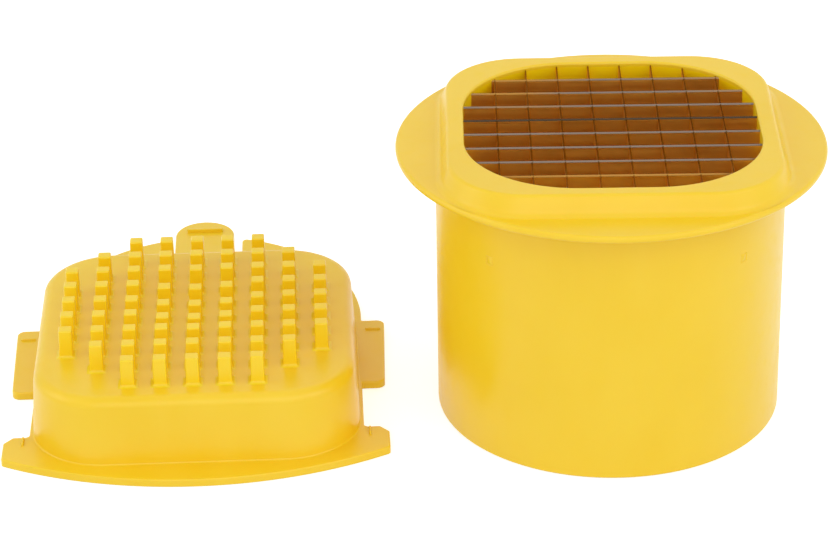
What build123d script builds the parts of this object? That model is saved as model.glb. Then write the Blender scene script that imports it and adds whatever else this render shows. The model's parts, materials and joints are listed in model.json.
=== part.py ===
import os
from math import atan, degrees, hypot, radians, sqrt, tan

from build123d import *

# French fry cutter: a blade tub that stands on its open end, and the pusher that belongs to it,
# lying on its back plate beside the tub. Millimetres, +Z up, the floor at Z = 0. The origin is
# the centre of the tub's lower rim, and X runs along the rows of the blade grid.

# Blade grid, shared by the blades, the tub's opening and the pusher's prongs
fry_pitch = 10.0
cells_across = 9
blade_thickness = 0.5
blade_depth = 12.0
blade_bevel = 0.5
blade_tip = 0.06
blade_bite = 2.0
lap_clearance = 0.06
slot_clearance = 0.1
overcut = 1.0

# Tub, flange and collar
housing_height = 95.0
blade_recess = 1.0
opening_margin = 0.35
opening_corner = 33.9
rim_bevel = 0.5
sleeve_wall = 3.2
corner_wall = 1.9
tub_wall = 2.2
flange_reach = 12.3
flange_thickness = 2.35
flange_bevel = 0.7
collar_width = 7.65
collar_corner = 26.0
collar_height = 6.1
collar_slope = 23.0
collar_round = 1.4
collar_foot_bevel = 1.1

# Retainer ring under the blades
retainer_wall = 2.4
retainer_height = 17.0
retainer_clearance = 0.15
retainer_seat_gap = 0.05
pip_width = 2.0
pip_height = 3.0
pip_lift = 2.4
pip_recess = 0.15
pip_clearance = 0.2

# Pusher: block, prongs and back plate
plate_thickness = 2.5
plate_bevel = 0.5
block_rise = 24.7
block_margin = 6.4
block_corner = 23.6
block_draft = 3.8
block_round = 3.4
block_foot_bevel = 0.5
shell_wall = 2.4
shell_roof = 2.6
rib_thickness = 1.8
rib_depth = 6.0
rib_spacing = 30.0
prong_foot = 4.3
prong_tip = 4.1
prong_height = 9.2
prong_chamfer = 0.4
dish_depth = 2.6
dish_radius = 87.0
side_ledge = 1.9
waist_ledge = 0.1
front_ledge = 10.1
front_radius = 122.3
tail_setback = 10.3
tail_stretch = 8.5
tail_corner = 1.4
tab_reach = 7.1
tab_flare = 0.5
tab_front = -4.2
tab_rear = 37.6
tab_corner = 2.5
ear_depth = 19.0
ear_chamfer_x = 2.8
ear_chamfer_y = 3.4
ear_corner = 1.5
notch_corner = 1.5

# Latch tongue at the pusher's tail
tongue_half = 10.2
tongue_reach = 12.0
tongue_slot_depth = 18.9
tongue_root_gap = 0.3
tongue_slot = 2.95
catch_length = 12.4
catch_height = 1.3
catch_crest = 1.2
catch_foot = 2.6
catch_setback = 8.6
tab_bar_length = 5.2
tab_bar_width = 1.0
tab_bar_height = 0.7
tab_bar_setback = 7.0
ear_bar_width = 1.0
ear_bar_length = 4.5
ear_bar_height = 0.9
ear_bar_setback = 6.1
bar_margin = 0.4
bar_draft = 12.0

# Where the pusher lies beside the tub
pusher_x = -131.4
pusher_y = 5.7
pusher_turn = 2.3

# How closely an edge's height or place is matched when edges are picked for rounding
match = 0.001

# Sizes that follow
opening_half = cells_across * fry_pitch / 2 + opening_margin
corner_offset = opening_half - opening_corner
opening_reach = corner_offset * sqrt(2) + opening_corner
tub_bore = opening_reach + corner_wall
tub_radius = tub_bore + tub_wall
flange_radius = tub_radius + flange_reach
flange_top = housing_height - collar_height
flange_underside = flange_top - flange_thickness
blade_top = housing_height - blade_recess
blade_bottom = blade_top - blade_depth
retainer_top = blade_bottom - retainer_seat_gap
retainer_bottom = retainer_top - retainer_height
pip_middle = retainer_bottom + pip_lift
block_half = cells_across * fry_pitch / 2 + block_margin
block_height = block_rise - plate_thickness
side_half = block_half + side_ledge
waist_half = block_half + block_foot_bevel + plate_bevel + waist_ledge
tab_half = side_half + tab_reach
tab_middle = (tab_front + tab_rear) / 2
front_reach = block_half + front_ledge
ear_rear = ear_depth - block_half
tail_centre = block_half - tail_setback
tail_depth = side_half + tail_stretch
tail_end = tail_centre + tail_depth
tongue_root = tail_end - tongue_slot_depth
tongue_tip = tail_end + tongue_reach
tongue_tip_centre = tongue_tip - tongue_half
catch_front = tongue_tip - catch_setback
tab_bar_front = tab_rear - tab_bar_setback
blade_offsets = [(i - (cells_across - 2) / 2) * fry_pitch for i in range(cells_across - 1)]


def upright(sketch, low, high, taper=0.0):
    """A sketch drawn on the floor plane, extruded from one height to another."""
    return Pos(0, 0, low) * extrude(sketch, high - low, taper=taper)


def rounded_square(half, corner):
    return RectangleRounded(2 * half, 2 * half, corner)


def level_edges(solid, height):
    return solid.edges().filter_by_position(Axis.Z, height - match, height + match)


def opening_half_width(offset):
    """Half the width of the opening at a distance from its centre line."""
    into_corner = max(abs(offset) - corner_offset, 0)
    return corner_offset + sqrt(opening_corner**2 - into_corner**2)


def blade(offset, notch_low, notch_high):
    """A steel strip along X at Y = 0, ground to an edge on top, with a notch for each crossing blade."""
    half_length = opening_half_width(offset) + blade_bite
    half = blade_thickness / 2
    shoulder = blade_top - blade_bevel
    section = Plane.YZ * Polygon(
        (-half, blade_bottom), (half, blade_bottom), (half, shoulder),
        (blade_tip / 2, blade_top), (-blade_tip / 2, blade_top), (-half, shoulder),
        align=None,
    )
    strip = extrude(section, half_length, both=True)
    notch = Box(blade_thickness + 2 * lap_clearance, blade_thickness + 2 * overcut, notch_high - notch_low)
    notch_middle = (notch_low + notch_high) / 2
    return strip - [Pos(crossing, 0, notch_middle) * notch for crossing in blade_offsets]


def cross_blade(offset):
    lap = blade_depth / 2 + lap_clearance
    return Pos(0, offset, 0) * blade(offset, blade_bottom - overcut, blade_bottom + lap)


def long_blade(offset):
    lap = blade_depth / 2 + lap_clearance
    return Pos(offset, 0, 0) * Rot(0, 0, 90) * blade(offset, blade_top - lap, blade_top + overcut)


def blade_slots():
    """The room that the blade ends need in the sleeve, open at its lower edge."""
    slots = []
    roof = blade_top + slot_clearance
    for offset in blade_offsets:
        length = 2 * (opening_half_width(offset) + blade_bite + slot_clearance)
        slot = Box(length, blade_thickness + 2 * slot_clearance, roof - blade_bottom,
                   align=(Align.CENTER, Align.CENTER, Align.MIN))
        slots.append(Pos(0, offset, blade_bottom) * slot)
        slots.append(Pos(offset, 0, blade_bottom) * Rot(0, 0, 90) * slot)
    return slots


def at_corners(piece):
    """Four copies, turned to the grid's diagonals."""
    return [Rot(0, 0, 45 + 90 * turn) * piece for turn in range(4)]


def housing():
    opening = rounded_square(opening_half, opening_corner)
    flange = upright(Circle(flange_radius), flange_underside, flange_top)
    flange = chamfer(flange.edges(), flange_bevel)
    collar_base = rounded_square(opening_half + collar_width, collar_corner)
    collar = upright(collar_base, flange_top, housing_height, collar_slope)
    collar = fillet(level_edges(collar, housing_height), collar_round)
    top = flange + collar
    foot = [edge for edge in level_edges(top, flange_top) if edge.geom_type != GeomType.CIRCLE
            or edge.radius < flange_radius / 2]
    top = chamfer(foot, collar_foot_bevel)
    tub = upright(Circle(tub_radius) - Circle(tub_bore), 0, flange_top)
    sleeve_outline = rounded_square(opening_half + sleeve_wall, opening_corner + sleeve_wall)
    sleeve = upright(sleeve_outline & Circle((tub_bore + tub_radius) / 2), blade_bottom, flange_top)
    body = top + tub + sleeve - upright(opening, blade_bottom, housing_height)
    rim = [edge for edge in level_edges(body, housing_height)
           if max(abs(edge.center().X), abs(edge.center().Y)) < opening_half + rim_bevel]
    body = chamfer(rim, rim_bevel)
    window = Pos((tub_bore + tub_radius) / 2, 0, pip_middle) * Box(
        tub_wall + 2 * overcut, pip_width + 2 * pip_clearance, pip_height + 2 * pip_clearance)
    return body - blade_slots() - at_corners(window)


def blade_retainer():
    """A ring that closes the blade slots from below and snaps into the tub's four windows."""
    outline = rounded_square(opening_half + retainer_wall, opening_corner + retainer_wall)
    outline = outline & Circle(tub_bore - retainer_clearance)
    ring = upright(outline - rounded_square(opening_half, opening_corner), retainer_bottom, retainer_top)
    inner = (opening_reach + tub_bore) / 2
    outer = tub_radius - pip_recess
    low = pip_middle - pip_height / 2
    slope = outer - tub_bore
    profile = Plane.XZ * Polygon(
        (inner, low), (outer, low), (outer, low + pip_height - slope), (inner, low + pip_height),
        align=None,
    )
    pip = extrude(profile, pip_width / 2, both=True)
    return ring + at_corners(pip)


def plate_outline():
    """The back plate seen from above: front arc and ears, side tabs, oval tail with the tongue's gap."""
    front_centre = front_radius - front_reach
    front_corner = front_centre - sqrt(front_radius**2 - tab_half**2)
    ear_side = ear_rear - ear_chamfer_y
    right_side = [
        (tab_half, front_corner), (tab_half, ear_side), (tab_half - ear_chamfer_x, ear_rear),
        (waist_half, ear_rear), (waist_half, tab_middle), (side_half, tab_middle), (side_half, tail_centre),
    ]
    left_side = [(-x, y) for x, y in reversed(right_side)]
    outline = Polyline(*right_side)
    outline += EllipticalCenterArc((0, tail_centre), side_half, tail_depth, 0, arc_size=180)
    outline += Polyline(*left_side)
    outline += RadiusArc((-tab_half, front_corner), (tab_half, front_corner), -front_radius)
    sketch = make_face(outline.edges())
    corners = sketch.vertices().group_by(Axis.Y)[0]
    inner = [v for v in sketch.vertices() if abs(abs(v.X) - waist_half) < match and v.Y < tab_front]
    sketch = fillet(list(corners) + inner, ear_corner)
    tabs = Polygon(
        (tab_flare - tab_half, tab_front), (tab_half - tab_flare, tab_front),
        (tab_half + tab_flare, tab_rear), (-tab_half - tab_flare, tab_rear),
        align=None,
    )
    sketch += fillet(tabs.vertices(), tab_corner)
    gap_half = tongue_half + tongue_slot
    gap = Rectangle(2 * gap_half, tongue_tip - tongue_root, align=(Align.CENTER, Align.MIN))
    gap = fillet(gap.vertices().group_by(Axis.Y)[0], notch_corner)
    sketch -= Pos(0, tongue_root) * gap
    tail = [v for v in sketch.vertices()
            if abs(abs(v.X) - gap_half) < match and v.Y > tongue_root + notch_corner + match]
    return fillet(tail, tail_corner)


def stiffening_ribs():
    """A grid of four ribs under the block's roof."""
    low = block_rise - shell_roof - rib_depth
    rib = Box(2 * block_half, rib_thickness, rib_depth, align=(Align.CENTER, Align.CENTER, Align.MIN))
    ribs = []
    for offset in (-rib_spacing / 2, rib_spacing / 2):
        ribs.append(Pos(0, offset, low) * rib)
        ribs.append(Pos(offset, 0, low) * Rot(0, 0, 90) * rib)
    return ribs


def bar(length, width, height):
    """A low moulded bar on the plate, narrower on top."""
    return upright(Rectangle(length, width), plate_thickness, plate_thickness + height, bar_draft)


def pusher():
    plate = upright(plate_outline(), 0, plate_thickness)
    plate = chamfer(level_edges(plate, plate_thickness), plate_bevel)
    block = upright(rounded_square(block_half, block_corner), plate_thickness, block_rise, block_draft)
    block = fillet(level_edges(block, block_rise), block_round)
    body = plate + block
    foot = [edge for edge in level_edges(body, plate_thickness)
            if max(abs(edge.center().X), abs(edge.center().Y)) < block_half + match]
    body = chamfer(foot, block_foot_bevel)
    spread = plate_thickness * tan(radians(block_draft))
    hollow_half = block_half + spread - shell_wall
    hollow_corner = block_corner + spread - shell_wall
    roof = block_rise - shell_roof
    hollow = upright(rounded_square(hollow_half, hollow_corner), 0, roof, block_draft)
    ribs = [rib & hollow for rib in stiffening_ribs()]
    body = body - hollow + ribs
    tab_bar = bar(tab_bar_length, tab_bar_width, tab_bar_height)
    ear_bar = bar(ear_bar_width, ear_bar_length, ear_bar_height)
    tab_bar_middle = tab_half - plate_bevel - bar_margin - tab_bar_length / 2
    ear_bar_middle = ear_rear - plate_bevel - bar_margin - ear_bar_length / 2
    for side in (-1, 1):
        body += Pos(side * tab_bar_middle, tab_bar_front + tab_bar_width / 2, 0) * tab_bar
        body += Pos(side * (tab_half - ear_bar_setback), ear_bar_middle, 0) * ear_bar
    return body


def prong_positions():
    """The grid's cells whose prong would pass through the opening, with its rounded corners."""
    steps = [(i - (cells_across - 1) / 2) * fry_pitch for i in range(cells_across)]
    corner = prong_foot / 2 - corner_offset
    return [(x, y) for x in steps for y in steps
            if hypot(max(abs(x) + corner, 0), max(abs(y) + corner, 0)) < opening_corner]


def prongs():
    """Square tapered posts. The middle ones are shorter, which leaves a shallow dish for the potato."""
    draft = degrees(atan((prong_foot - prong_tip) / 2 / prong_height))
    posts = []
    for x, y in prong_positions():
        height = prong_height - max(dish_depth - (x**2 + y**2) / (2 * dish_radius), 0)
        post = upright(Rectangle(prong_foot, prong_foot), block_rise, block_rise + height, draft)
        post = chamfer(level_edges(post, block_rise + height), prong_chamfer)
        posts.append(Pos(x, y, 0) * post)
    return Compound(children=posts)


def latch_tongue():
    """The springy tongue at the tail, with a round tip and a catch bar across it."""
    root = tongue_root + tongue_root_gap
    shape = Rectangle(2 * tongue_half, tongue_tip_centre - root, align=(Align.CENTER, Align.MIN))
    shape = Pos(0, root) * shape
    shape += Pos(0, tongue_tip_centre) * Circle(tongue_half)
    tongue = upright(shape, 0, plate_thickness)
    tongue = chamfer(level_edges(tongue, plate_thickness), plate_bevel)
    profile = Plane.YZ * Polygon(
        (catch_front, plate_thickness / 2), (catch_front + catch_foot, plate_thickness / 2),
        (catch_front + catch_foot, plate_thickness),
        (catch_front + catch_crest, plate_thickness + catch_height),
        (catch_front, plate_thickness + catch_height),
        align=None,
    )
    return tongue + extrude(profile, catch_length / 2, both=True)


def save(piece, name, place=Location()):
    piece = place * piece
    piece.label = name
    export_step(piece, f"parts/{name}.step")


os.makedirs("parts", exist_ok=True)
save(housing(), "housing")
save(blade_retainer(), "blade_retainer")
for number, offset in enumerate(blade_offsets, 1):
    save(cross_blade(offset), f"cross_blade_{number}")
    save(long_blade(offset), f"long_blade_{number}")
beside = Location((pusher_x, pusher_y, 0), (0, 0, pusher_turn))
save(pusher(), "pusher", beside)
save(prongs(), "prongs", beside)
save(latch_tongue(), "latch_tongue", beside)
print(f"tub radius {tub_radius:.3f}, bore {tub_bore:.3f}, flange underside {flange_underside:.3f}")
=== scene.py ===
import json
import math

import bmesh
import bpy
from mathutils import Matrix, Vector


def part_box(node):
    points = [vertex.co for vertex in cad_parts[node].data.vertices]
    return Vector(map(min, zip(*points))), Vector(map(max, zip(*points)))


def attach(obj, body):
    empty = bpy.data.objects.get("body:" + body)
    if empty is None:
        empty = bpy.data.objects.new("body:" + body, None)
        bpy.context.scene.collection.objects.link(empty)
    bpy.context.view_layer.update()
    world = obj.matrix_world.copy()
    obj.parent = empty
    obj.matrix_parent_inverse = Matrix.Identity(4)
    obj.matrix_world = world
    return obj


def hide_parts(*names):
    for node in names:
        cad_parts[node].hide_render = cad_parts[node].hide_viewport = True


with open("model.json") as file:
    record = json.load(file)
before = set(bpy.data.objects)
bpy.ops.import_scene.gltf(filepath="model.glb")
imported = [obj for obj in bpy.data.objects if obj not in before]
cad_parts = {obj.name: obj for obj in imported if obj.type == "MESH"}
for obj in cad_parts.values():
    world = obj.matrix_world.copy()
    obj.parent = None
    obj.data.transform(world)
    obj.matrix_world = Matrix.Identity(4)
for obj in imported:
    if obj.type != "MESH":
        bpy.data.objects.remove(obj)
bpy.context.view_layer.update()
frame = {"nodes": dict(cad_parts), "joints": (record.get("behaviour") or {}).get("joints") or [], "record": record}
mm = 0.001
weld = 0.01 * mm  # vertices nearer than this are one
level = 0.001 * mm  # heights nearer than this are the same
print("frame loaded:", len(frame["nodes"]), "nodes")


# camera

view = {
    "place": (-0.05297, -0.89819, 0.51089),
    "turn": -0.488,  # degrees to the right of +Y
    "tilt": 27.565,  # degrees below level
    "roll": -0.995,
    "lens": 138.94,
    "sensor": 36,
}


def addCamera():
    data = bpy.data.cameras.new("camera")
    data.lens = view["lens"]
    data.sensor_width = view["sensor"]
    camera = bpy.data.objects.new("camera", data)
    heading = Matrix.Rotation(-math.radians(view["turn"]), 4, "Z")
    pitch = Matrix.Rotation(math.radians(90 - view["tilt"]), 4, "X")
    roll = Matrix.Rotation(math.radians(view["roll"]), 4, "Z")
    camera.matrix_world = Matrix.Translation(view["place"]) @ heading @ pitch @ roll
    bpy.context.scene.collection.objects.link(camera)
    bpy.context.scene.camera = camera


addCamera()
print("camera placed")


# shader helpers

class Wire:  # a socket that can be used in plain maths
    def __init__(self, finish, socket):
        self.finish = finish
        self.socket = socket

    def __add__(self, other):
        return self.finish.maths("ADD", self, other)

    def __sub__(self, other):
        return self.finish.maths("SUBTRACT", self, other)

    def __rsub__(self, other):
        return self.finish.maths("SUBTRACT", other, self)

    def __mul__(self, other):
        return self.finish.maths("MULTIPLY", self, other)

    def __lt__(self, other):
        return self.finish.maths("LESS_THAN", self, other)

    def __gt__(self, other):
        return self.finish.maths("GREATER_THAN", self, other)

    __radd__ = __add__
    __rmul__ = __mul__


class Finish:  # the nodes of one material, or of the world
    def __init__(self, owner):
        owner.use_nodes = True
        self.owner = owner
        self.nodes = owner.node_tree.nodes
        self.links = owner.node_tree.links
        self.nodes.clear()

    def node(self, kind, settings=None, sockets=None, output=0):
        made = self.nodes.new(kind)
        for key, value in (settings or {}).items():
            setattr(made, key, value)
        for key, value in (sockets or {}).items():
            if isinstance(value, Wire):
                self.links.new(value.socket, made.inputs[key])
            else:
                made.inputs[key].default_value = value
        return Wire(self, made.outputs[output]) if len(made.outputs) else None

    def maths(self, operation, *values):
        return self.node("ShaderNodeMath", {"operation": operation}, dict(enumerate(values)))

    def coordinates(self):
        return self.node("ShaderNodeTexCoord", output="Object")

    def axis(self, letter):
        return self.node("ShaderNodeSeparateXYZ", {}, {"Vector": self.coordinates()}, output=letter)

    def place(self, stretch):  # coordinates, squeezed along an axis where a pattern is long
        return self.node("ShaderNodeMapping", {}, {"Vector": self.coordinates(), "Scale": stretch})

    def noise(self, scale, detail, stretch=(1, 1, 1)):
        return self.node("ShaderNodeTexNoise", {}, {
            "Vector": self.place(stretch), "Scale": scale, "Detail": detail})

    def spread(self, value, low, high, start=0.0, end=1.0):  # stretches a narrow range of values
        return self.node("ShaderNodeMapRange", {}, {
            "Value": value, "From Min": low, "From Max": high, "To Min": start, "To Max": end})

    def patches(self, scale, detail, low, high, stretch=(1, 1, 1)):  # noise, low to high made 0 to 1
        return self.spread(self.noise(scale, detail, stretch), low, high)

    def mix(self, factor, first, second):  # sockets 6 and 7 are the node's two colours
        return self.node("ShaderNodeMix", {"data_type": "RGBA"}, {0: factor, 6: first, 7: second}, output=2)

    def bump(self, height, distance, strength, over=None):
        sockets = {"Height": height, "Distance": distance, "Strength": strength}
        if over:
            sockets["Normal"] = over
        return self.node("ShaderNodeBump", {}, sockets)

    def principled(self, sockets):
        shader = self.node("ShaderNodeBsdfPrincipled", {}, sockets)
        self.node("ShaderNodeOutputMaterial", {}, {"Surface": shader})
        return self.owner


def newFinish(name):
    return Finish(bpy.data.materials.new(name))


# materials, with sizes in millimetres

plastic = {
    "colour": (0.92, 0.622, 0.018, 1),
    "deeper": (0.9, 0.6, 0.01, 1),
    "clouds": {"scale": 28, "detail": 4, "low": 0.35, "high": 0.65},
    "paler": (0.93, 0.64, 0.028, 1),
    "streaks": {"scale": 60, "detail": 5, "low": 0.4, "high": 0.7, "stretch": (1, 1, 0.35)},
    "streakStrength": 0.5,
    "mouth": (0.99, 0.71, 0.002, 1),  # painted light: the wall round the blades is a brighter, deeper yellow, standing in for the light that reaches it
    "mouthRadius": 50.5,
    "mouthHeight": 93.5,
    "roughness": 0.33,
    "scuffs": {"scale": 240, "detail": 6, "low": 0.5, "high": 0.75},
    "scuffRoughness": 0.1,
    "waves": {"scale": 45, "detail": 2},  # slow unevenness of a moulded face
    "waveHeight": 0.6,
    "waveStrength": 0.35,
    "grain": {"scale": 1400, "detail": 2},
    "grainHeight": 0.03,
    "grainStrength": 0.25,
    "glow": 0.15,  # a little light passes through the wall
    "glowColour": (1.0, 0.55, 0.12),
    "glowDepth": 2.0,
    "ior": 1.49,
}
postPlasticPaintedLight = {  # a paler, yellower copy of the plastic for the posts: painted light, standing in for the light that falls between them
    **plastic,
    "colour": (0.95, 0.675, 0.012, 1),
    "deeper": (0.935, 0.655, 0.008, 1),
    "paler": (0.955, 0.69, 0.02, 1),
}


def mouldedPlastic(name, look):
    finish = newFinish(name)
    colour = finish.mix(finish.patches(**look["clouds"]), look["colour"], look["deeper"])
    colour = finish.mix(finish.patches(**look["streaks"]) * look["streakStrength"], colour, look["paler"])
    flat = finish.place((1, 1, 0))
    fromAxis = finish.node("ShaderNodeVectorMath", {"operation": "LENGTH"}, {0: flat}, output="Value")
    # the wall round the blades, where painted light brightens the colour
    mouth = (fromAxis < look["mouthRadius"] * mm) * (finish.axis("Z") < look["mouthHeight"] * mm)
    waves, grain = finish.noise(**look["waves"]), finish.noise(**look["grain"])
    normal = finish.bump(waves, look["waveHeight"] * mm, look["waveStrength"])
    normal = finish.bump(grain, look["grainHeight"] * mm, look["grainStrength"], normal)
    return finish.principled({
        "Base Color": finish.mix(mouth, colour, look["mouth"]),
        "Roughness": look["roughness"] + finish.patches(**look["scuffs"]) * look["scuffRoughness"],
        "Normal": normal,
        "Subsurface Weight": look["glow"],
        "Subsurface Radius": look["glowColour"],
        "Subsurface Scale": look["glowDepth"] * mm,
        "IOR": look["ior"],
    })


steel = {
    # painted reflection: the steel is coloured orange-brown, standing in for the yellow plastic its faces reflect,
    # with random stains on top
    "colour": (0.88, 0.52, 0.09, 1),
    "stained": (0.76, 0.41, 0.06, 1),
    "stains": {"scale": 120, "detail": 5, "low": 0.5, "high": 0.75, "stretch": (0.5, 0.5, 1)},
    "edgeDepth": 0.6,
    "edgeFade": 0.1,
    "crossEdge": (0.16, 0.125, 0.1, 1),  # the sharpened edges
    # painted shade and reflection: the long blades' edges are a dark brown, where the cross blades' edges are grey
    "longEdge": (0.2, 0.08, 0.0, 1),
    "crossSheen": (1, 1, 1, 1),  # what the steel reflects at a low angle
    # painted reflection: the long blades' reflections are tinted orange, like the yellow plastic they face
    "longSheen": (1, 0.7, 0.35, 1),
    "dullEdge": (0.05, 0.035, 0.02, 1),  # painted shade: one blade's edge is painted dark where it doesn't catch the light
    "dullAt": 5.0,  # that blade's place along Y
    "dullReach": 3.0,
    "tanned": (0.3, 0.15, 0.03, 1),
    "tan": {"scale": 45, "detail": 2, "low": 0.5, "high": 0.7, "stretch": (0.4, 1, 1)},
    "allTan": -32.0,  # along Y, where the front blade is: its edge is tan from end to end
    "tanFade": 4.0,
    "metallic": 0.9,
    "roughness": 0.3,
    "edgePolish": 0.12,
    "brushing": {"scale": 900, "detail": 4, "low": 0.35, "high": 0.65, "stretch": (0.02, 0.02, 1)},
    "brushRoughness": 0.14,
    "brushHeight": 0.02,
    "brushStrength": 0.3,
}


def bladeSteel(name, edgeColour, paintedShadeColour, sheen):
    finish = newFinish(name)
    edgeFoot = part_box("cross_blade_1")[1][2] - steel["edgeDepth"] * mm
    edge = finish.spread(finish.axis("Z"), edgeFoot, edgeFoot + steel["edgeFade"] * mm)
    along = finish.axis("Y")
    # painted shade on one blade's edge, at its place along Y
    paintedShadeSpot = finish.maths("COMPARE", along, steel["dullAt"] * mm, steel["dullReach"] * mm)
    front = finish.spread(along, steel["allTan"] * mm, (steel["allTan"] + steel["tanFade"]) * mm, 1.0, 0.0)
    tan = finish.patches(**steel["tan"]) + front
    # the faces: painted reflection of the yellow plastic, with random stains
    face = finish.mix(finish.patches(**steel["stains"]), steel["colour"], steel["stained"])
    ground = finish.mix(tan, finish.mix(paintedShadeSpot, edgeColour, paintedShadeColour), steel["tanned"])
    brushing = finish.patches(**steel["brushing"])
    return finish.principled({
        "Base Color": finish.mix(edge, face, ground),
        "Metallic": steel["metallic"],
        "Specular Tint": sheen,
        "Roughness": steel["roughness"] + brushing * steel["brushRoughness"] - edge * steel["edgePolish"],
        "Normal": finish.bump(brushing, steel["brushHeight"] * mm, steel["brushStrength"]),
    })


yellowPlastic = mouldedPlastic("moulded_yellow_plastic", plastic)
# the posts get the paler copy: painted light between the posts
prongPlasticPaintedLight = mouldedPlastic("prong_yellow_plastic", postPlasticPaintedLight)
# one steel for all blades; the two finishes differ only in painted shade and reflection
crossSteel = bladeSteel("cross_blade_steel", steel["crossEdge"], steel["dullEdge"], steel["crossSheen"])
longSteel = bladeSteel("long_blade_steel", steel["longEdge"], steel["longEdge"], steel["longSheen"])
print("materials made")


# mesh helpers, with sizes in millimetres

def edgesOf(verts):  # each edge once, in the same order every run
    return list(dict.fromkeys(edge for v in verts for edge in v.link_edges))


def madeOf(made, kind):  # what an operator made, of one kind
    return [element for element in made["geom"] if isinstance(element, kind)]


def arc(start, end, steps):  # from degrees to radians, both ends included
    return [math.radians(start + (end - start) * i / steps) for i in range(steps + 1)]


def onSquare(angle, half, corner):  # how far a ray from the centre goes to reach a rounded square
    across, up = abs(math.cos(angle)), abs(math.sin(angle))
    flat = half - corner
    if half * min(across, up) <= flat * max(across, up):
        return half / max(across, up)
    lean = flat * (across + up)
    return lean + math.sqrt(lean ** 2 - 2 * flat ** 2 + corner ** 2)


def placeRing(verts, half, corner, height):  # each vertex stays on its own ray
    for v in verts:
        angle = math.atan2(v.co.y, v.co.x)
        reach = onSquare(angle, half, corner) * mm
        v.co = (reach * math.cos(angle), reach * math.sin(angle), height * mm)


def startRing(bm, segments, half, corner, height):
    verts = bmesh.ops.create_circle(bm, segments=segments, radius=half * mm)["verts"]
    placeRing(verts, half, corner, height)
    return edgesOf(verts)


def nextRing(bm, edges, half, corner, height):
    made = bmesh.ops.extrude_edge_only(bm, edges=edges)
    placeRing(madeOf(made, bmesh.types.BMVert), half, corner, height)
    return madeOf(made, bmesh.types.BMEdge)


def closeRing(bm, edges):  # one level face, begun at the same vertex every run
    verts = dict.fromkeys(v for edge in edges for v in edge.verts)
    bm.faces.new(sorted(verts, key=lambda v: math.atan2(v.co.y, v.co.x)))


def arcRings(half, corner, height, radius, start, end, steps):  # rings along an arc round half and height
    return [(half + radius * math.cos(a), corner + radius * math.cos(a), height + radius * math.sin(a))
            for a in arc(start, end, steps)]


def wallRings(half, corner, foot, top, slope, footRound, topRound, steps):  # a leaning wall, from its foot up
    tan, cos = math.tan(math.radians(slope)), math.cos(math.radians(slope))
    hollow = footRound / cos - footRound * tan  # from the wall's foot out to its hollow's centre
    crest = topRound * tan - topRound / cos - (top - foot) * tan
    return (arcRings(half + hollow, corner + hollow, foot + footRound, -footRound, 90, slope, steps)
            + arcRings(half + crest, corner + crest, top - topRound, topRound, slope, 90, steps))


def roundEdges(bm, edges, radius, segments=2):
    bmesh.ops.bevel(bm, geom=edges, offset=radius * mm, affect="EDGES", segments=segments,
                    profile=0.5, material=-1)


def softBox(bm, low, high, taper=0.0, rounding=0.0):  # a block, narrower on top by taper at each side
    size = Vector(high) - Vector(low)
    middle = (Vector(low) + Vector(high)) / 2
    verts = bmesh.ops.create_cube(bm, size=1)["verts"]
    for v in verts:
        shrink = 2 * taper if v.co.z > 0 else 0
        v.co = Vector((v.co.x * (size.x - shrink), v.co.y * (size.y - shrink), v.co.z * size.z)) + middle
        v.co *= mm
    if rounding:  # all but the bottom edges
        upper = [e for e in edgesOf(verts) if max(v.co.z for v in e.verts) > middle.z * mm]
        roundEdges(bm, upper, rounding)


def newObject(bm, name, material):
    mesh = bpy.data.meshes.new(name)
    bm.to_mesh(mesh)
    bm.free()
    mesh.materials.append(material)
    made = bpy.data.objects.new(name, mesh)
    bpy.context.scene.collection.objects.link(made)
    return made


def addPiece(bm, name, body, node, material=yellowPlastic, sharpFrom=32):  # in degrees
    bmesh.ops.remove_doubles(bm, verts=bm.verts, dist=weld)
    bmesh.ops.recalc_face_normals(bm, faces=bm.faces)
    for edge in bm.edges:
        edge.smooth = not edge.is_manifold or edge.calc_face_angle() < math.radians(sharpFrom)
    for face in bm.faces:
        face.smooth = True
    piece = newObject(bm, name, material)
    weighted = piece.modifiers.new("flat_faces_stay_flat", "WEIGHTED_NORMAL")
    weighted.keep_sharp = True
    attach(piece, body)
    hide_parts(node)
    print("piece made:", name, len(piece.data.polygons), "faces")


# blade tub

tub = {
    "segments": 256,
    "roundSteps": 5,
    "openingHalf": 45.35,
    "openingCorner": 33.9,
    "rimRound": 0.8,
    "collarHalf": 53.0,  # at the flange
    "collarCorner": 26.0,
    "collarHeight": 6.1,
    "collarSlope": 23.0,  # degrees off upright
    "collarRound": 1.6,
    "footRound": 2.6,
    "flangeThickness": 2.35,
    "flangeRound": 1.0,
    "neckRound": 0.8,
    "wall": 2.2,
    "lipRound": 0.5,
    "sleeveWall": 3.2,
    "sleeveOverrun": 1.5,  # how far a corner of the sleeve may lie beyond the bore
    "sleeveStep": 0.05,  # how far the bore steps in where the sleeve's corners meet it
    "pipHeight": (65.85, 68.85),  # lower and upper edge
    "pipHalfAngle": 1.4,  # degrees
    "pipGroove": 0.25,
    "pipDome": 0.3,
}
housingLow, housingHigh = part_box("housing")
tubTop = housingHigh[2] / mm
flangeRadius = -housingLow[1] / mm
tubRadius = next(m["dims"]["r_mm"] for m in frame["record"]["mounts"] if m["name"] == "tub_outside")
boreRadius = tubRadius - tub["wall"]
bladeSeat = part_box("cross_blade_1")[0][2] / mm
flangeTop = tubTop - tub["collarHeight"]
flangeLow = flangeTop - tub["flangeThickness"]


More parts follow.
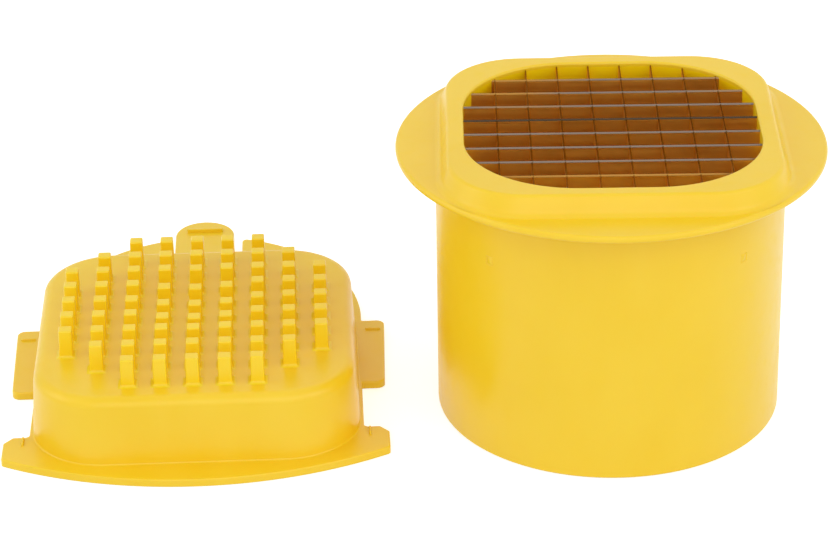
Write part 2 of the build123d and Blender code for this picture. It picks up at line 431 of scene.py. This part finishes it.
def tubProfile():  # rings of the moulding as (half, corner, height), from the blade seat up and right round
    half, corner, steps = tub["openingHalf"], tub["openingCorner"], tub["roundSteps"]
    sleeveHalf, sleeveCorner = half + tub["sleeveWall"], corner + tub["sleeveWall"]
    rings = [(half, corner, bladeSeat)]
    r = tub["rimRound"]
    rings += arcRings(half + r, corner + r, tubTop - r, r, 180, 90, steps)
    rings += reversed(wallRings(tub["collarHalf"], tub["collarCorner"], flangeTop, tubTop,
                                tub["collarSlope"], tub["footRound"], tub["collarRound"], steps))
    r = tub["flangeRound"]
    reach = flangeRadius - r
    rings += arcRings(reach, reach, flangeTop - r, r, 90, 0, steps)
    rings += arcRings(reach, reach, flangeLow + r, r, 0, -90, steps)
    r = tub["neckRound"]
    reach = tubRadius + r
    rings += arcRings(reach, reach, flangeLow - r, r, 90, 180, steps)
    rings += [(tubRadius, tubRadius, height) for height in reversed(tub["pipHeight"])]
    r = tub["lipRound"]
    for reach, start in ((tubRadius - r, 0), (boreRadius + r, -90)):
        rings += arcRings(reach, reach, r, r, start, start - 90, steps)
    rings.append((boreRadius, boreRadius, flangeLow))
    rings.append((sleeveHalf, sleeveCorner, flangeLow))
    rings.append((sleeveHalf, sleeveCorner, bladeSeat))
    rings.append(rings[0])
    return rings


def makeTub():
    rings = tubProfile()
    bm = bmesh.new()
    edges = startRing(bm, tub["segments"], *rings[0])
    for ring in rings[1:]:
        edges = nextRing(bm, edges, *ring)
    nearest = (boreRadius - tub["sleeveStep"]) * mm
    furthest = (boreRadius + tub["sleeveOverrun"]) * mm
    for v in bm.verts:  # the sleeve's corners run into the wall
        inside = bladeSeat * mm / 2 < v.co.z < flangeLow * mm + level
        if inside and nearest < v.co.xy.length < furthest:
            v.co.xy = v.co.xy.normalized() * nearest
    bmesh.ops.remove_doubles(bm, verts=bm.verts, dist=weld)
    bmesh.ops.recalc_face_normals(bm, faces=bm.faces)
    low, high = tub["pipHeight"]
    facing = math.cos(math.radians(tub["pipHalfAngle"]))
    for corner in range(4):  # the retainer's pips show in the wall
        way = Matrix.Rotation(math.radians(45 + 90 * corner), 3, "Z") @ Vector((1, 0, 0))
        faces = [f for f in bm.faces
                 if low * mm < f.calc_center_median().z < high * mm and f.normal.dot(way) > facing]
        bmesh.ops.inset_region(bm, faces=faces, thickness=tub["pipGroove"] * mm,
                               depth=-tub["pipGroove"] * mm, use_even_offset=True)
        bmesh.ops.inset_region(bm, faces=faces, thickness=2 * tub["pipDome"] * mm,
                               depth=tub["pipDome"] * mm, use_even_offset=True)
    addPiece(bm, "blade_tub", "cutter", "housing")


makeTub()


# pusher

pusher = {
    "ringSegments": 192,
    "arcSteps": 32,
    "roundSteps": 6,
    "plateThickness": 2.5,
    "plateRound": 0.5,
    "blockHalf": 51.4,  # at the plate's top face
    "blockCorner": 23.6,
    "blockDraft": 3.8,  # degrees
    "blockRise": 24.7,
    "blockRound": 3.5,
    "blockTopInset": 6.0,
    "footRound": 0.57,
    "shellWall": 2.4,
    "shellRoof": 2.6,
    "ribThickness": 1.8,
    "ribDepth": 6.0,
    "ribSpacing": 30.0,
    "rootDepth": 0.5,  # how far a rib or bar runs into what carries it
    "sideHalf": 53.3,
    "waistHalf": 52.5,  # between the ears and the tabs
    "tabHalf": 60.4,
    "tabFlare": 0.5,
    "tabFront": -4.2,
    "tabRear": 37.6,
    "tabCorner": 2.5,
    "earRear": -32.4,
    "earCut": (2.8, 3.4),  # across and along
    "earTipRound": 0.4,
    "earHeelRound": 0.8,
    "cornerRound": 1.5,
    "innerRound": 0.5,
    "frontReach": 61.5,
    "frontRadius": 122.3,
    "tailCentre": 41.1,
    "tailDepth": 61.8,  # the tail is half an oval
    "tailCorner": 1.4,
    "gapHalf": 13.15,
    "gapRoot": 84.0,
    "bars": (  # two corners and the rise
        (54.3, 30.6, 59.5, 31.6, 0.7),  # on a tab
        (53.8, -37.8, 54.8, -33.3, 0.9),  # on an ear
    ),
    "barTaper": 0.2,
    "barRound": 0.3,
}
prongLow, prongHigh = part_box("prongs")
pusherCentre = ((prongLow[0] + prongHigh[0]) / 2, (prongLow[1] + prongHigh[1]) / 2, 0)
hinge = next(j for j in frame["joints"] if j["name"] == "tongue_flex")
pusherTurn = math.atan2(hinge["axis"][1], hinge["axis"][0])
beside = Matrix.Translation(pusherCentre) @ Matrix.Rotation(pusherTurn, 4, "Z")


def rounded(points, steps=4):  # a closed outline of (x, y, corner radius), its corners turned by arcs
    outline = []
    for i, (x, y, r) in enumerate(points):
        here = Vector((x, y))
        if not r:
            outline.append(here)
            continue
        before = (Vector(points[i - 1][:2]) - here).normalized()
        after = (Vector(points[(i + 1) % len(points)][:2]) - here).normalized()
        halfAngle = before.angle(after) / 2
        centre = here + (before + after).normalized() * r / math.sin(halfAngle)
        start = here + before * r / math.tan(halfAngle) - centre
        end = here + after * r / math.tan(halfAngle) - centre
        for k in range(steps + 1):
            outline.append(centre + start.lerp(end, k / steps).normalized() * r)
    return outline


def plateOutline():
    p = pusher
    side, waist, tab, outer = p["sideHalf"], p["waistHalf"], p["tabHalf"], p["cornerRound"]
    arcCentre = p["frontRadius"] - p["frontReach"]
    earFront = arcCentre - math.sqrt(p["frontRadius"] ** 2 - tab ** 2)
    cutAcross, cutAlong = p["earCut"]
    right = [
        (tab, earFront, outer),
        (tab, p["earRear"] - cutAlong, p["earTipRound"]),
        (tab - cutAcross, p["earRear"], p["earHeelRound"]),
        (waist, p["earRear"], outer),
        (waist, p["tabFront"], p["innerRound"]),
        (tab - p["tabFlare"], p["tabFront"], p["tabCorner"]),
        (tab + p["tabFlare"], p["tabRear"], p["tabCorner"]),
        (side, p["tabRear"], p["innerRound"]),
    ]
    tailTurn = math.degrees(math.acos(p["gapHalf"] / side))
    tail = [(side * math.cos(a), p["tailCentre"] + p["tailDepth"] * math.sin(a))
            for a in arc(0, tailTurn, p["arcSteps"])]
    right += [(x, y, 0) for x, y in tail[:-2]]  # the last but one makes room for the corner's round
    right.append((*tail[-1], p["tailCorner"]))
    right.append((p["gapHalf"], p["gapRoot"], outer))
    left = [(-x, y, r) for x, y, r in reversed(right)]
    frontTurn = math.degrees(math.asin(tab / p["frontRadius"]))
    front = [(p["frontRadius"] * math.sin(a), arcCentre - p["frontRadius"] * math.cos(a), 0)
             for a in arc(-frontTurn, frontTurn, p["arcSteps"])]
    return rounded(right + left + front[1:-1])


def slab(bm, outline, thickness, rounding):  # a flat plate, its upper edge rounded
    bottom = bm.faces.new([bm.verts.new((v.x * mm, v.y * mm, 0)) for v in outline])
    made = bmesh.ops.extrude_face_region(bm, geom=[bottom], use_keep_orig=True)
    bmesh.ops.translate(bm, verts=madeOf(made, bmesh.types.BMVert), vec=(0, 0, thickness * mm))
    roundEdges(bm, madeOf(made, bmesh.types.BMEdge), rounding, segments=3)


def flatLoop(bm, height):  # the level face at a height gives way to its edges
    faces = [f for f in bm.faces if all(abs(v.co.z - height * mm) < level for v in f.verts)]
    face = max(faces, key=lambda f: f.calc_area())
    edges = list(face.edges)
    bmesh.ops.delete(bm, geom=[face], context="FACES_ONLY")
    return edges


def makePusher():
    p = pusher
    half, corner, draft = p["blockHalf"], p["blockCorner"], p["blockDraft"]
    thick, rise, root = p["plateThickness"], p["blockRise"], p["rootDepth"]
    bm = bmesh.new()
    slab(bm, plateOutline(), thick, p["plateRound"])
    upper = flatLoop(bm, thick)
    lower = flatLoop(bm, 0)
    rings = wallRings(half, corner, thick, rise, draft, p["footRound"], p["blockRound"], p["roundSteps"])
    rings.append((rings[-1][0] - p["blockTopInset"], rings[-1][1] - p["blockTopInset"], rise))
    foot = edges = startRing(bm, p["ringSegments"], *rings[0])
    for ring in rings[1:]:
        edges = nextRing(bm, edges, *ring)
    closeRing(bm, edges)
    bmesh.ops.triangle_fill(bm, edges=upper + foot, use_beauty=True)
    roof = rise - p["shellRoof"]
    tan = math.tan(math.radians(draft))
    inner = thick * tan - p["shellWall"]  # the hollow under the block
    rim = startRing(bm, p["ringSegments"], half + inner, corner + inner, 0)
    inner -= roof * tan
    ceiling = nextRing(bm, rim, half + inner, corner + inner, roof)
    closeRing(bm, ceiling)
    bmesh.ops.triangle_fill(bm, edges=lower + rim, use_beauty=True)
    reach = half + inner + root
    low = roof - p["ribDepth"]
    for side in (-1, 1):
        middle, wide = side * p["ribSpacing"] / 2, p["ribThickness"] / 2
        softBox(bm, (-reach, middle - wide, low), (reach, middle + wide, roof + root))
        softBox(bm, (middle - wide, -reach, low), (middle + wide, reach, roof + root))
        for x0, y0, x1, y1, height in p["bars"]:
            x0, x1 = sorted((side * x0, side * x1))
            softBox(bm, (x0, y0, thick - root), (x1, y1, thick + height), p["barTaper"], p["barRound"])
    bmesh.ops.transform(bm, matrix=beside, verts=bm.verts)
    addPiece(bm, "pusher_plate", "pusher", "pusher")


prong = {
    "across": 9,
    "pitch": 10.0,
    "foot": 4.3,
    "tip": 4.1,
    "height": 9.2,
    "rootDepth": 0.3,
    "round": 0.45,
    "flare": ((1.0, 0.0), (0.6, 0.07), (0.3, 0.22), (0.1, 0.45), (-0.05, 0.75)),  # lift, and how much wider
    "dishDepth": 2.6,
    "dishRadius": 87.0,
    "sharpFrom": 60,
}


def makeProngs():
    p = prong
    half, taper = p["foot"] / 2, (p["foot"] - p["tip"]) / 2
    low = pusher["blockRise"]
    middle = (p["across"] - 1) / 2
    flat = tub["openingHalf"] - tub["openingCorner"]
    bm = bmesh.new()
    for i in range(p["across"]):
        for j in range(p["across"]):
            x, y = (i - middle) * p["pitch"], (j - middle) * p["pitch"]
            corner = [max(abs(c) + half - flat, 0) for c in (x, y)]
            if math.hypot(*corner) > tub["openingCorner"]:
                continue
            height = p["height"] - max(p["dishDepth"] - (x ** 2 + y ** 2) / (2 * p["dishRadius"]), 0)
            softBox(bm, (x - half, y - half, low - p["rootDepth"]), (x + half, y + half, low + height),
                    taper, p["round"])
    for lift, wider in p["flare"]:
        height = (low + lift) * mm
        bmesh.ops.bisect_plane(bm, geom=bm.verts[:] + bm.edges[:] + bm.faces[:], dist=level,
                               plane_co=(0, 0, height), plane_no=(0, 0, 1))
        for v in bm.verts:
            if abs(v.co.z - height) < level or (lift < 0 and v.co.z < height):
                for axis in (0, 1):
                    centre = round(v.co[axis] / mm / p["pitch"]) * p["pitch"] * mm
                    v.co[axis] += math.copysign(wider * mm, v.co[axis] - centre)
    bmesh.ops.transform(bm, matrix=beside, verts=bm.verts)
    addPiece(bm, "prong_field", "pusher", "prongs", prongPlasticPaintedLight, p["sharpFrom"])


tongue = {
    "half": 10.2,
    "root": 84.15,
    "tip": 114.9,
    "thickness": 2.5,
    "round": 0.6,
    "catchHalf": 6.2,
    "catchFront": 106.3,
    "catchFoot": 2.6,
    "catchCrest": 1.2,
    "catchHeight": 1.3,
    "catchRoot": 0.8,
    "catchRound": 0.3,
}


def makeTongue():
    t = tongue
    half, thick, front = t["half"], t["thickness"], t["catchFront"]
    centre = t["tip"] - half
    bm = bmesh.new()
    outline = [Vector((-half, t["root"])), Vector((half, t["root"]))]
    outline += [Vector((half * math.cos(a), centre + half * math.sin(a)))
                for a in arc(0, 180, pusher["arcSteps"])]
    slab(bm, outline, thick, t["round"])
    low, high = thick - t["catchRoot"], thick + t["catchHeight"]
    section = [(front, low), (front + t["catchFoot"], low), (front + t["catchFoot"], thick),
               (front + t["catchCrest"], high), (front, high)]
    face = bm.faces.new([bm.verts.new((-t["catchHalf"] * mm, y * mm, z * mm)) for y, z in section])
    made = bmesh.ops.extrude_face_region(bm, geom=[face], use_keep_orig=True)
    far = madeOf(made, bmesh.types.BMVert)
    bmesh.ops.translate(bm, verts=far, vec=(2 * t["catchHalf"] * mm, 0, 0))
    bar = [e for e in edgesOf(list(face.verts) + far) if max(v.co.z for v in e.verts) > thick * mm + level]
    roundEdges(bm, bar, t["catchRound"])
    bmesh.ops.transform(bm, matrix=beside, verts=bm.verts)
    addPiece(bm, "latch_tongue_moulded", "latch", "latch_tongue")


makePusher()
makeProngs()
makeTongue()


# blades and retainer keep the shape they came with

nodeFinishes = {"cross": crossSteel, "long": longSteel, "blade": yellowPlastic}  # by a name's first word
for name, node in frame["nodes"].items():
    material = nodeFinishes.get(name.split("_")[0])
    if material:
        node.data.materials.clear()
        node.data.materials.append(material)
print("blades and retainer finished")


# floor, light and surroundings, with sizes in metres

studio = {
    "floorSize": 12.0,
    "floorDrop": 0.0002,
    "floorColour": (0.82, 0.82, 0.82, 1),
    "floorLift": 0.6,  # how much white the camera sees over the lit floor
    "world": 0.76,
    "lamps": {  # place, size and power
        "front": ((0.0, -1.9, 1.1), 1.6, 7.0),
        "left": ((-2.0, -0.2, 1.0), 1.4, 7.2),
        "right": ((1.4, -1.0, 1.2), 1.4, 7.0),
    },
    "lampsAimAt": (-0.06, 0, 0.04),
}


def seenDirectly(finish):  # camera, glossy and transmission rays see the white surroundings
    camera, glossy, through = (finish.node("ShaderNodeLightPath", output=f"Is {ray} Ray")
                               for ray in ("Camera", "Glossy", "Transmission"))
    return finish.maths("MAXIMUM", camera, finish.maths("MAXIMUM", glossy, through))


def addFloor():
    finish = newFinish("pale_floor")
    card = finish.node("ShaderNodeBsdfDiffuse", {}, {"Color": studio["floorColour"]})
    white = finish.node("ShaderNodeEmission", {}, {"Strength": seenDirectly(finish) * studio["floorLift"]})
    both = finish.node("ShaderNodeAddShader", {}, {0: card, 1: white})
    finish.node("ShaderNodeOutputMaterial", {}, {"Surface": both})
    bm = bmesh.new()
    bmesh.ops.create_grid(bm, x_segments=1, y_segments=1, size=studio["floorSize"] / 2)
    floor = newObject(bm, "floor", finish.owner)
    floor.location.z = -studio["floorDrop"]


def addWorld():
    world = bpy.data.worlds.new("studio")
    bpy.context.scene.world = world
    finish = Finish(world)
    strength = studio["world"] + seenDirectly(finish) * (1 - studio["world"])
    background = finish.node("ShaderNodeBackground", {}, {"Color": (1, 1, 1, 1), "Strength": strength})
    finish.node("ShaderNodeOutputWorld", {}, {"Surface": background})


def addLamp(name, place, size, power):
    data = bpy.data.lights.new(name, "AREA")
    data.shape = "SQUARE"
    data.size = size
    data.energy = power
    lamp = bpy.data.objects.new(name, data)
    lamp.location = place
    aim = Vector(studio["lampsAimAt"]) - Vector(place)
    lamp.rotation_euler = aim.to_track_quat("-Z", "Y").to_euler()
    bpy.context.scene.collection.objects.link(lamp)


addFloor()
addWorld()
for name, (place, size, power) in studio["lamps"].items():
    addLamp(name, place, size, power)
bpy.context.scene.view_settings.view_transform = "Standard"
print("studio lit")
